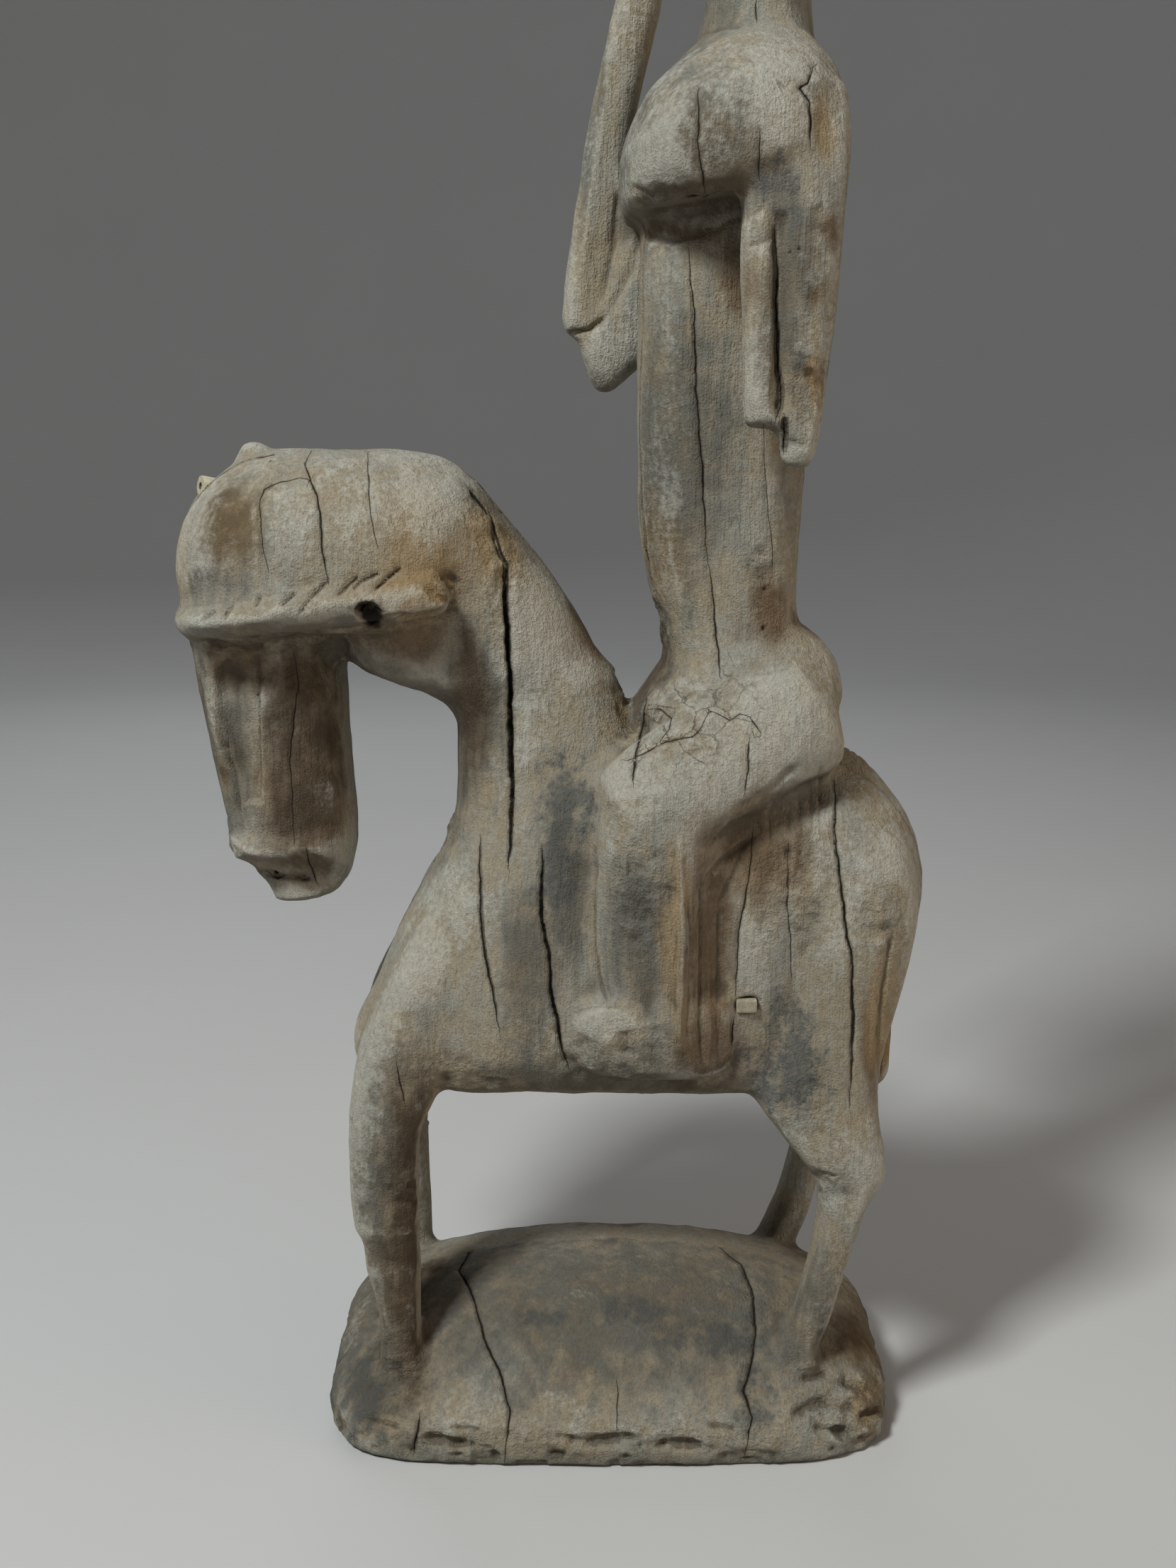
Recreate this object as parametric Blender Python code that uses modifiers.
"""Equestrian figure: a rider on a standing horse, carved with its base from one log.

Metres, +Z up, the underside of the base at z = 0. The horse looks towards -X, and its left side
faces -Y. The carving's free form is given in parts: the figure is 312 parts long, 148 wide and 705
high, and a part is a millimetre at the real size.
"""

import math

import bpy
import numpy as np
from mathutils import Matrix, Vector

# The whole figure, and with it the free form's parts
FIGURE_LENGTH = 0.312
FIGURE_WIDTH = 0.148
FIGURE_HEIGHT = 0.705
PART = np.array([FIGURE_LENGTH / 312, FIGURE_WIDTH / 148, FIGURE_HEIGHT / 705])

# The base
BASE_LENGTH = 0.244
BASE_DEPTH = 0.148
BASE_HEIGHT = 0.061

# Pegs, which sit in holes cut for them
PEG_GAP = 0.0003
FOREHEAD_PEG_RADIUS = 0.0042
FOREHEAD_PEG_LENGTH = 0.020
FOREHEAD_PEG_SHOWS = 0.008
FOREHEAD_PEG_PLACE = Vector(PART * (-161.5, 0, 397.5))
FOREHEAD_PEG_TILT = math.radians(8)
PEG_EYE_RADIUS = 0.0012
PEG_EYE_DEPTH = 0.003
FLANK_PEG_WIDTH = 0.0084
FLANK_PEG_HEIGHT = 0.0054
FLANK_PEG_LENGTH = 0.015
FLANK_PEG_SHOWS = 0.0015
FLANK_PEG_EDGE = 0.0007
FLANK_PEG_PLACE = Vector(PART * (55, -50, 193.5))

# The drilled eyes and the mouth's slit
EYE_RADIUS = 0.0055
EYE_DEPTH = 0.006
EYE_PLACE = Vector(PART * (-92, 54, 349.5))
MOUTH_GAPE = 0.0022
MOUTH_PLACE = Vector(PART * (-154, 0, 240))
MOUTH_SIZE = PART * (60, 80, 0)

# The corded band round the horse's brow, in parts
BAND_MIDDLE_X = -118
BAND_HALF_X = 60
BAND_HALF_Y = 54
BAND_SQUARENESS = 2.6
BAND_Z = 352
BAND_SLOPE = 0.13
BAND_LEVEL_X = -125
BAND_BULGE = 8
SLASH_COUNT = 8
SLASH_SIZE = PART * (1.3, 4, 15)
SLASH_SLANT = math.radians(38)

# Fineness of the solids
BIG_SIDES = 36
LIMB_SIDES = 24
SMALL_SIDES = 16
PEG_SIDES = 16
VOXEL = 0.0022
WORN_ROUNDS = 5
TRIANGLE_COUNT = 8200

NEAR, FAR = -1, 1

# Stations: height, front, back, middle of the width, half width, squareness of the section
BODY = [
    (149, -96, 104, 0, 34, 3.0),
    (154, -106, 110, 0, 43, 3.4),
    (168, -110, 116, 0, 49, 3.2),
    (190, -101, 125, 0, 51, 2.9),
    (214, -89, 130, 0, 51, 2.8),
    (238, -77, 133, 0, 50, 2.8),
    (262, -66, 126, 0, 47, 2.7),
    (281, -64, 111, 0, 41, 2.6),
    (294, -62, 93, 0, 33, 2.5),
    (300, -50, 80, 0, 24, 2.4),
]
NECK = [
    (262, -62, 26, 0, 38, 2.6),
    (285, -64, 18, 0, 35, 2.6),
    (303, -64, 11, 0, 32, 2.5),
    (315, -77, 5, 0, 31, 2.5),
    (323, -100, 3, 0, 32, 2.6),
    (335, -114, -7, 0, 34, 2.6),
    (354, -116, -18, 0, 36, 2.5),
    (379, -112, -36, 0, 38, 2.4),
    (398, -108, -53, 0, 33, 2.3),
    (408, -104, -66, 0, 22, 2.2),
]
HEAD_DOME = [
    (343, -166, -64, 0, 40, 2.6),
    (352, -174, -56, 0, 47, 2.7),
    (368, -176, -48, 0, 49, 2.7),
    (384, -173, -46, 0, 47, 2.6),
    (396, -166, -50, 0, 41, 2.5),
    (404, -157, -58, 0, 33, 2.3),
    (410, -146, -68, 0, 22, 2.2),
    (413, -132, -84, 0, 9, 2.0),
]
MUZZLE = [
    (226, -143, -122, 0, 13, 2.4),
    (231, -150, -114, 0, 20, 2.6),
    (240, -155, -109, 0, 25, 2.8),
    (252, -161, -107, 0, 29, 2.9),
    (260, -161, -107, 0, 28, 2.9),
    (275, -163, -108, 0, 29, 2.9),
    (305, -168, -110, 0, 32, 2.9),
    (350, -174, -110, 0, 36, 2.6),
]
FRONT_LEG = [
    (16, -99, -75, 44, 12, 2.6),
    (28, -98, -77, 44, 12, 2.6),
    (36, -97, -79, 44, 11, 2.5),
    (56, -98, -80, 44, 11, 2.6),
    (76, -103, -80, 43, 12, 2.8),
    (88, -104, -80, 42, 13, 2.8),
    (101, -108, -80, 41, 14, 2.8),
    (133, -109, -79, 39, 15, 2.8),
    (150, -108, -72, 36, 17, 2.6),
    (176, -103, -62, 31, 18, 2.6),
    (205, -89, -52, 25, 18, 2.4),
    (232, -73, -44, 18, 15, 2.2),
]
HIND_LEG = [
    (16, 60, 88, 45, 12, 2.5),
    (26, 62, 90, 45, 12, 2.5),
    (36, 67, 88, 45, 11, 2.4),
    (56, 77, 95, 44, 11, 2.4),
    (80, 84, 101, 43, 11, 2.4),
    (104, 87, 109, 41, 13, 2.6),
    (118, 84, 116, 39, 15, 2.8),
    (136, 70, 113, 37, 17, 2.8),
    (155, 58, 112, 33, 19, 2.6),
    (185, 58, 119, 31, 20, 2.4),
    (222, 66, 127, 30, 20, 2.3),
    (252, 74, 123, 26, 18, 2.2),
    (272, 82, 108, 20, 14, 2.0),
]
TAIL = [
    (137, 113, 120, 3, 3, 2.2),
    (145, 110, 124, 3, 7, 2.6),
    (165, 109, 124, 3, 8, 2.6),
    (187, 111, 128, 2, 8, 2.6),
    (206, 112, 131, 0, 9, 2.4),
    (230, 112, 134, 0, 9, 2.4),
    (250, 110, 131, 0, 8, 2.2),
]
HIPS = [
    (286, 30, 86, 0, 40, 2.5),
    (297, 18, 91, 0, 47, 2.5),
    (307, 10, 95, 0, 48, 2.5),
    (317, 15, 96, 0, 45, 2.5),
    (327, 22, 94, 0, 39, 2.5),
    (336, 24, 88, 0, 35, 2.5),
    (342, 27, 81, 0, 32, 2.5),
]
TORSO = [
    (330, 23, 81, 0, 34, 2.6),
    (345, 21, 77, 0, 32, 2.7),
    (362, 15, 76, 0, 32, 2.8),
    (390, 11, 77, 0, 32, 2.9),
    (440, 11, 79, 0, 32, 2.9),
    (508, 12, 80, 0, 33, 2.8),
]
CHEST = [
    (506, 8, 82, 0, 52, 2.8),
    (509, 5, 84, 0, 57, 2.9),
    (516, 3, 87, 0, 61, 3.0),
    (528, 3, 88, 0, 62, 2.9),
    (541, 7, 88, 0, 58, 2.6),
    (552, 14, 84, 0, 48, 2.4),
    (561, 23, 78, 0, 35, 2.2),
    (567, 31, 76, 0, 24, 2.0),
]
RIDER_NECK = [
    (555, 30, 80, 0, 24, 2.2),
    (567, 33, 78, 0, 22, 2.2),
    (580, 36, 77, 0, 21, 2.2),
    (620, 38, 78, 0, 21, 2.2),
]
NEAR_ARM = [
    (421, 50, 79, -47, 8, 2.8),
    (426, 49, 80, -48, 10, 3.0),
    (448, 48, 81, -48, 11, 3.0),
    (478, 47, 84, -47, 12, 2.9),
    (505, 47, 86, -46, 12, 2.7),
    (528, 50, 88, -42, 12, 2.4),
    (545, 56, 86, -36, 10, 2.2),
]
NEAR_HAND = [
    (406, 66, 74, -49, 5, 2.4),
    (410, 63, 77, -49, 8, 2.6),
    (424, 62, 79, -49, 9, 2.8),
    (440, 60, 80, -50, 9, 2.8),
]
FAR_UPPER_ARM = [
    (436, -6, 0, 47, 4, 2.2),
    (446, -10, 12, 47, 9, 2.4),
    (460, -13, 26, 47, 11, 2.5),
    (480, -8, 44, 48, 12, 2.5),
    (505, 6, 66, 48, 13, 2.5),
    (528, 26, 80, 46, 14, 2.4),
]
FAR_FOREARM = [
    (460, -18, -9, 49, 9, 2.8),
    (466, -20, -4, 49, 10, 2.8),
    (484, -19, 3, 49, 10, 2.6),
    (512, -15, 6, 49, 10, 2.5),
    (545, -9, 10, 49, 9, 2.4),
    (580, -1, 19, 48, 9, 2.4),
    (612, 7, 26, 47, 8, 2.4),
    (630, 12, 27, 46, 7, 2.3),
]
RAISED_HAND = [
    (622, 11, 27, 46, 7, 2.3),
    (634, 8, 31, 46, 6, 2.5),
    (650, 7, 35, 45, 6, 2.6),
    (664, 10, 36, 44, 5, 2.6),
    (673, 15, 33, 43, 3, 2.4),
]
RAISED_THUMB = [
    (632, 4, 16, 45, 5, 2.2),
    (645, 0, 9, 44, 4, 2.2),
    (655, 1, 6, 43, 3, 2.0),
]
RIDER_HEAD = [
    (604, 20, 50, 0, 12, 2.2),
    (609, 14, 64, 0, 20, 2.3),
    (624, 10, 78, 0, 27, 2.4),
    (645, 9, 87, 0, 31, 2.4),
    (665, 10, 90, 0, 33, 2.3),
    (684, 15, 87, 0, 30, 2.2),
    (698, 27, 77, 0, 21, 2.1),
    (705, 42, 63, 0, 9, 2.0),
]
NOSE = [
    (632, 4, 16, 0, 4, 2.2),
    (635, 0, 18, 0, 6, 2.2),
    (643, 2, 18, 0, 5, 2.0),
    (658, 6, 18, 0, 3, 2.0),
]
RIDER_CALF = [
    (188, -4, 46, 44, 19, 1.8),
    (215, -7, 46, 44, 20, 1.8),
    (245, -8, 47, 44, 20, 1.8),
    (264, -7, 49, 44, 19, 2.0),
    (280, -3, 54, 42, 17, 2.2),
]
RIDER_FOOT = [
    (163, 6, 44, 44, 12, 2.6),
    (168, -13, 49, 45, 16, 2.8),
    (188, -15, 50, 46, 17, 2.8),
    (197, -11, 48, 46, 16, 2.6),
    (201, 2, 42, 45, 12, 2.4),
]


# Strokes of the knife on both flanks: path of (x, z), half width and depth (raised if negative)
FLANK_STROKES = [
    ([(-154, 322), (-154, 290), (-153, 264)], 8, 2.6),
    ([(-141, 322), (-141, 270)], 4, -1.2),
    ([(-167, 320), (-162, 285), (-158, 262)], 4, 1.4),
    ([(-160, 262), (-145, 258), (-112, 262)], 4, 1.5),
    ([(-155, 247), (-120, 246)], 5, -1.0),
    ([(-108, 165), (-84, 168)], 5, 0.8),
    ([(-106, 106), (-82, 108)], 5, 1.2),
    ([(-104, 97), (-84, 96)], 5, -1.3),
    ([(-102, 84), (-82, 82)], 5, 1.2),
    ([(80, 118), (98, 112)], 5, 2.0),
    ([(90, 282), (64, 276), (38, 262)], 8, 2.6),
    ([(40, 174), (40, 240), (54, 264), (84, 278)], 9, 3.0),
    ([(34, 176), (35, 248), (48, 268)], 3, 1.2),
    ([(45, 174), (46, 236), (62, 262)], 3, 1.2),
    ([(-14, 204), (-14, 250)], 5, 1.0),
    ([(-60, 300), (-40, 318), (-14, 330)], 9, 0.8),
]
# Strokes on the left flank only, where the hanging arm is split
NEAR_STROKES = [
    ([(61.5, 428), (61.5, 462), (60, 496)], 3.4, 4.0),
    ([(70, 520), (70, 470), (72, 430)], 6, -0.8),
]


def spline(rows, steps=3):
    """Rows of numbers run through smoothly, in some steps from each to the next."""
    rows = np.array(rows, dtype=float)
    padded = np.vstack([2 * rows[0] - rows[1], rows, 2 * rows[-1] - rows[-2]])
    out = []
    for k in range(len(rows) - 1):
        before, here, then, after = padded[k : k + 4]
        low, high = np.minimum(here, then), np.maximum(here, then)
        for t in np.linspace(0, 1, steps, endpoint=False):
            row = 0.5 * (
                2 * here
                + (then - before) * t
                + (2 * before - 5 * here + 4 * then - after) * t**2
                + (3 * here - before - 3 * then + after) * t**3
            )
            out.append(np.clip(row, low, high))
    out.append(rows[-1])
    return out


def oval(half_x, half_y, square, sides):
    """Points round an oval that is the squarer, the higher the exponent."""
    turn = np.linspace(0, 2 * math.pi, sides, endpoint=False) + math.pi / sides
    c, s = np.cos(turn), np.sin(turn)
    x = half_x * np.sign(c) * np.abs(c) ** (2 / square)
    y = half_y * np.sign(s) * np.abs(s) ** (2 / square)
    return x, y


def loft(name, rings):
    """A closed solid through rings that have the same number of points."""
    sides = len(rings[0])
    points = [tuple(p) for ring in rings for p in ring]
    faces = [tuple(reversed(range(sides)))]
    for k in range(len(rings) - 1):
        low, high = k * sides, (k + 1) * sides
        for i in range(sides):
            j = (i + 1) % sides
            faces.append((low + i, low + j, high + j, high + i))
    faces.append(tuple(range(len(points) - sides, len(points))))
    mesh = bpy.data.meshes.new(name)
    mesh.from_pydata(points, [], faces)
    mesh.update()
    ob = bpy.data.objects.new(name, mesh)
    bpy.context.scene.collection.objects.link(ob)
    return ob


def column(name, stations, sides=LIMB_SIDES, side=1, shift=0.0, slope=0.0, pivot=0.0):
    """A carved length that stands upright: level ovals, or ovals that rise with x by slope."""
    rings = []
    for height, front, back, middle, half, square in spline(stations):
        x, y = oval((back - front) / 2, half, square, sides)
        x = x + (front + back) / 2 + shift
        z = height + slope * (x - pivot)
        rings.append(np.column_stack([x, y + side * middle, z]) * PART)
    return loft(name, rings)


def stick(name, start, end, start_radius, end_radius, flat=1.0, sides=LIMB_SIDES):
    """A round length between two points, with domed ends and flattened sideways by flat."""
    start, end = Vector(start), Vector(end)
    along = (end - start).normalized()
    across = along.cross(Vector((0, 1, 0))).normalized()
    sideways = across.cross(along) * flat
    turn = np.linspace(0, 2 * math.pi, sides, endpoint=False)[:, None]
    circle = np.array(sideways) * np.sin(turn) - np.array(across) * np.cos(turn)
    rings = []
    for share in np.linspace(0, 1, 13):
        swell = (1 - abs(2 * share - 1) ** 6) ** 0.5 * 0.9 + 0.1
        radius = (start_radius * (1 - share) + end_radius * share) * swell
        rings.append((np.array(start.lerp(end, share)) + circle * radius) * PART)
    return loft(name, rings)


def apply_modifier(ob, modifier):
    """Makes a modifier's result the object's own mesh."""
    with bpy.context.temp_override(object=ob, active_object=ob, selected_objects=[ob]):
        bpy.ops.object.modifier_apply(modifier=modifier.name)


def cut_out(body, other):
    """Cuts a solid out of the body, and takes it away."""
    modifier = body.modifiers.new("cut", "BOOLEAN")
    modifier.operation = "DIFFERENCE"
    modifier.solver = "EXACT"
    modifier.object = other
    apply_modifier(body, modifier)
    bpy.data.objects.remove(other)


def cylinder(name, radius, start, end, sides=PEG_SIDES):
    """A plain round rod between two points."""
    axis = end - start
    bpy.ops.mesh.primitive_cylinder_add(vertices=sides, radius=radius, depth=axis.length)
    ob = bpy.context.object
    ob.name = name
    turn = axis.to_track_quat("Z", "Y").to_matrix().to_4x4()
    ob.data.transform(Matrix.Translation((start + end) / 2) @ turn)
    return ob


def make_base():
    """The low domed base, boxy in plan, with its sides drawn in towards the top."""
    length, depth = BASE_LENGTH / 2, BASE_DEPTH / 2
    shares = [
        (0.00, 0.980, 0.98, 5.0),
        (0.08, 1.000, 1.00, 5.0),
        (0.22, 1.000, 1.00, 4.6),
        (0.40, 0.975, 0.93, 3.8),
        (0.58, 0.915, 0.81, 3.1),
        (0.74, 0.785, 0.68, 2.6),
        (0.87, 0.600, 0.54, 2.3),
        (0.96, 0.370, 0.36, 2.1),
        (1.00, 0.150, 0.15, 2.0),
    ]
    rings = []
    for up, long, deep, square in spline(shares):
        x, y = oval(length * long, depth * deep, square, BIG_SIDES)
        rings.append(np.column_stack([x, y, np.full_like(x, BASE_HEIGHT * up)]))
    return loft("base", rings)


def make_band():
    """The corded band round the bottom of the horse's brow, which rises towards the ears."""
    stations = []
    for turn in np.radians(np.linspace(-80, 80, 7)):
        out = BAND_BULGE * (math.cos(turn) - 1)
        height = BAND_Z + BAND_BULGE * math.sin(turn)
        front = BAND_MIDDLE_X - BAND_HALF_X - out
        back = BAND_MIDDLE_X + BAND_HALF_X + out
        stations.append((height, front, back, 0, BAND_HALF_Y + out, BAND_SQUARENESS))
    return column("band", stations, BIG_SIDES, slope=BAND_SLOPE, pivot=BAND_LEVEL_X)


def horse_pieces():
    """The horse's parts, from the body out."""
    pieces = [
        column("neck", NECK, BIG_SIDES),
        column("head", HEAD_DOME, BIG_SIDES),
        make_band(),
        column("muzzle", MUZZLE, BIG_SIDES),
        column("tail", TAIL, SMALL_SIDES),
        stick("forelock_knot", (-145, 0, 404), (-144, 0, 417), 9, 5, sides=SMALL_SIDES),
    ]
    for side in (NEAR, FAR):
        pieces.append(column("front_leg", FRONT_LEG, side=side, shift=-2 * side - 2))
        pieces.append(column("hind_leg", HIND_LEG, side=side))
        ear_root = (-89, side * 48, 354)
        ear_tip = (-62, side * 42, 359)
        pieces.append(stick("ear", ear_root, ear_tip, 8, 9, 0.6, SMALL_SIDES))
    return pieces


def rider_pieces():
    """The rider's parts, from the seat up."""
    pieces = [
        column("hips", HIPS, BIG_SIDES),
        column("torso", TORSO, BIG_SIDES),
        column("chest", CHEST, BIG_SIDES, slope=0.15, pivot=45),
        column("near_arm", NEAR_ARM),
        column("near_hand", NEAR_HAND, SMALL_SIDES),
        column("far_upper_arm", FAR_UPPER_ARM),
        column("far_forearm", FAR_FOREARM),
        column("raised_hand", RAISED_HAND, SMALL_SIDES),
        column("raised_thumb", RAISED_THUMB, SMALL_SIDES),
        column("rider_neck", RIDER_NECK),
        column("rider_head", RIDER_HEAD, BIG_SIDES),
        column("nose", NOSE, SMALL_SIDES),
    ]
    for side in (NEAR, FAR):
        pieces.append(stick("thigh", (89, side * 27, 317), (0, side * 47, 262), 29, 27, 0.74))
        pieces.append(column("calf", RIDER_CALF, side=side))
        pieces.append(column("foot", RIDER_FOOT, side=side))
        pieces.append(stick("ear", (46, side * 31, 634), (51, side * 33, 656), 6, 8, 0.6, SMALL_SIDES))
    return pieces


def block(size, place):
    """A plain box, turned and placed by a matrix."""
    bpy.ops.mesh.primitive_cube_add(size=1)
    ob = bpy.context.object
    ob.data.transform(place @ Matrix.Diagonal((*size, 1)))
    return ob


def cut_eyes(figure):
    """A drilled eye on each side of the horse's brow band."""
    for side in (NEAR, FAR):
        surface = Vector((EYE_PLACE.x, side * EYE_PLACE.y, EYE_PLACE.z))
        inward = Vector((0, -side, 0))
        eye = cylinder("eye", EYE_RADIUS, surface + inward * EYE_DEPTH, surface - inward * 0.01)
        cut_out(figure, eye)


def cut_mouth(figure):
    """The horse's mouth, a slit from the front of the muzzle."""
    lean = Matrix.Rotation(math.radians(4), 4, "Y")
    size = (MOUTH_SIZE[0], MOUTH_SIZE[1], MOUTH_GAPE)
    cut_out(figure, block(size, Matrix.Translation(MOUTH_PLACE) @ lean))


def cut_band_slashes(figure):
    """Slanting cuts along the corded band, on both sides of the brow."""
    for side in (NEAR, FAR):
        for share in np.linspace(0, 1, SLASH_COUNT):
            along = 1.16 * share - 0.62
            x = BAND_MIDDLE_X + BAND_HALF_X * along
            y = BAND_HALF_Y * (1 - abs(along) ** BAND_SQUARENESS) ** (1 / BAND_SQUARENESS)
            z = BAND_Z + BAND_SLOPE * (x - BAND_LEVEL_X)
            place = Matrix.Translation(PART * (x, side * y, z))
            turn = Matrix.Rotation(side * math.radians(25 - 50 * share), 4, "Z")
            slant = Matrix.Rotation(SLASH_SLANT, 4, "Y")
            cut_out(figure, block(SLASH_SIZE, place @ turn @ slant))


def forehead_peg_axis():
    """The way the forehead peg points: forward, and a little up."""
    return Vector((-math.cos(FOREHEAD_PEG_TILT), 0, math.sin(FOREHEAD_PEG_TILT)))


def flank_peg_size():
    """The flank peg's width, length into the wood and height."""
    return np.array([FLANK_PEG_WIDTH, FLANK_PEG_LENGTH, FLANK_PEG_HEIGHT])


def cut_peg_holes(figure):
    """The two holes that the pegs sit in, wider and deeper than the pegs by the gap."""
    slot_reach = 0.03
    out = forehead_peg_axis()
    bottom = FOREHEAD_PEG_PLACE - out * (FOREHEAD_PEG_LENGTH - FOREHEAD_PEG_SHOWS + PEG_GAP)
    mouth = FOREHEAD_PEG_PLACE + out * slot_reach
    hole = cylinder("hole", FOREHEAD_PEG_RADIUS + PEG_GAP, bottom, mouth)
    cut_out(figure, hole)
    size = flank_peg_size() + 2 * PEG_GAP * np.array([1, 0, 1]) + np.array([0, slot_reach, 0])
    bottom = FLANK_PEG_PLACE.y + FLANK_PEG_LENGTH - FLANK_PEG_SHOWS + PEG_GAP
    middle = Vector((FLANK_PEG_PLACE.x, bottom - size[1] / 2, FLANK_PEG_PLACE.z))
    cut_out(figure, block(size, Matrix.Translation(middle)))


def fuse(name, pieces):
    """One worn solid made of overlapping pieces: joined, remeshed, softened and thinned out."""
    points, faces = [], []
    for piece in pieces:
        first = len(points)
        points += [v.co.copy() for v in piece.data.vertices]
        faces += [[first + i for i in p.vertices] for p in piece.data.polygons]
        bpy.data.objects.remove(piece)
    mesh = bpy.data.meshes.new(name)
    mesh.from_pydata(points, [], faces)
    ob = bpy.data.objects.new(name, mesh)
    bpy.context.scene.collection.objects.link(ob)
    remesh = ob.modifiers.new("fuse", "REMESH")
    remesh.mode = "VOXEL"
    remesh.voxel_size = VOXEL
    apply_modifier(ob, remesh)
    worn = ob.modifiers.new("worn", "SMOOTH")
    worn.factor = 0.5
    worn.iterations = WORN_ROUNDS
    apply_modifier(ob, worn)
    carve_strokes(ob)
    thin = ob.modifiers.new("thin", "DECIMATE")
    thin.ratio = TRIANGLE_COUNT / (2 * len(ob.data.polygons))
    apply_modifier(ob, thin)
    return ob


def path_distance(x, z, path):
    """How far points lie from a path of straight lines, seen from the side."""
    nearest = np.full_like(x, np.inf)
    for (x0, z0), (x1, z1) in zip(path, path[1:]):
        along_x, along_z = x1 - x0, z1 - z0
        share = ((x - x0) * along_x + (z - z0) * along_z) / (along_x**2 + along_z**2)
        share = np.clip(share, 0, 1)
        nearest = np.minimum(nearest, np.hypot(x - x0 - share * along_x, z - z0 - share * along_z))
    return nearest


def carve_strokes(ob):
    """Presses the strokes into the flanks, along the surface's own normals."""
    mesh = ob.data
    points = np.array([v.co for v in mesh.vertices])
    normals = np.array([v.normal for v in mesh.vertices])
    x, y, z = (points / PART).T
    for side in (NEAR, FAR):
        strokes = FLANK_STROKES + (NEAR_STROKES if side == NEAR else [])
        facing = np.clip(side * normals[:, 1] * 1.6, 0, 1) * (side * y > 8)
        for path, half_width, depth in strokes:
            share = np.clip(path_distance(x, z, path) / half_width, 0, 1)
            pressed = depth * (1 - share**2) ** 2 * facing
            points -= normals * pressed[:, None] * PART
    mesh.vertices.foreach_set("co", points.ravel())
    mesh.update()


def flatten_underside(figure):
    """The flat that the base stands on, cut where the underside of the base is."""
    size = (2 * BASE_LENGTH, 2 * BASE_DEPTH, BASE_HEIGHT)
    cut_out(figure, block(size, Matrix.Translation((0, 0, -BASE_HEIGHT / 2))))


def make_figure():
    """Horse, rider and base as the one solid that was cut from the log."""
    body = column("body", BODY, BIG_SIDES)
    figure = fuse("carved_figure", [body, make_base()] + horse_pieces() + rider_pieces())
    flatten_underside(figure)
    cut_eyes(figure)
    cut_mouth(figure)
    cut_band_slashes(figure)
    cut_peg_holes(figure)
    return figure


def make_forehead_peg():
    """A pale round peg with a small blind hole in its end."""
    out = forehead_peg_axis()
    start = FOREHEAD_PEG_PLACE - out * (FOREHEAD_PEG_LENGTH - FOREHEAD_PEG_SHOWS)
    end = FOREHEAD_PEG_PLACE + out * FOREHEAD_PEG_SHOWS
    peg = cylinder("forehead_peg", FOREHEAD_PEG_RADIUS, start, end)
    eye = cylinder("peg_eye", PEG_EYE_RADIUS, end - out * PEG_EYE_DEPTH, end + out * 0.01)
    cut_out(peg, eye)
    return peg


def make_flank_peg():
    """A small flat-sided wooden peg in the horse's left flank."""
    middle = FLANK_PEG_PLACE + Vector((0, FLANK_PEG_LENGTH / 2 - FLANK_PEG_SHOWS, 0))
    peg = block(flank_peg_size(), Matrix.Translation(middle))
    peg.name = "flank_peg"
    edges = peg.modifiers.new("edges", "BEVEL")
    edges.width = FLANK_PEG_EDGE
    edges.segments = 2
    apply_modifier(peg, edges)
    return peg


def give_material(ob, name, colour, roughness):
    """One plain material of its own."""
    material = bpy.data.materials.new(name)
    material.use_nodes = True
    shader = material.node_tree.nodes["Principled BSDF"]
    shader.inputs["Base Color"].default_value = (*colour, 1)
    shader.inputs["Roughness"].default_value = roughness
    ob.data.materials.clear()
    ob.data.materials.append(material)


def main():
    for ob in list(bpy.data.objects):
        bpy.data.objects.remove(ob)
    collection = bpy.data.collections.new("equestrian_figure")
    bpy.context.scene.collection.children.link(collection)
    finishes = [
        (make_figure(), "weathered_wood", (0.42, 0.35, 0.26), 0.9),
        (make_forehead_peg(), "bone", (0.72, 0.66, 0.54), 0.6),
        (make_flank_peg(), "peg_wood", (0.50, 0.42, 0.31), 0.85),
    ]
    for ob, name, colour, roughness in finishes:
        give_material(ob, name, colour, roughness)
        for holder in list(ob.users_collection):
            holder.objects.unlink(ob)
        collection.objects.link(ob)


main()
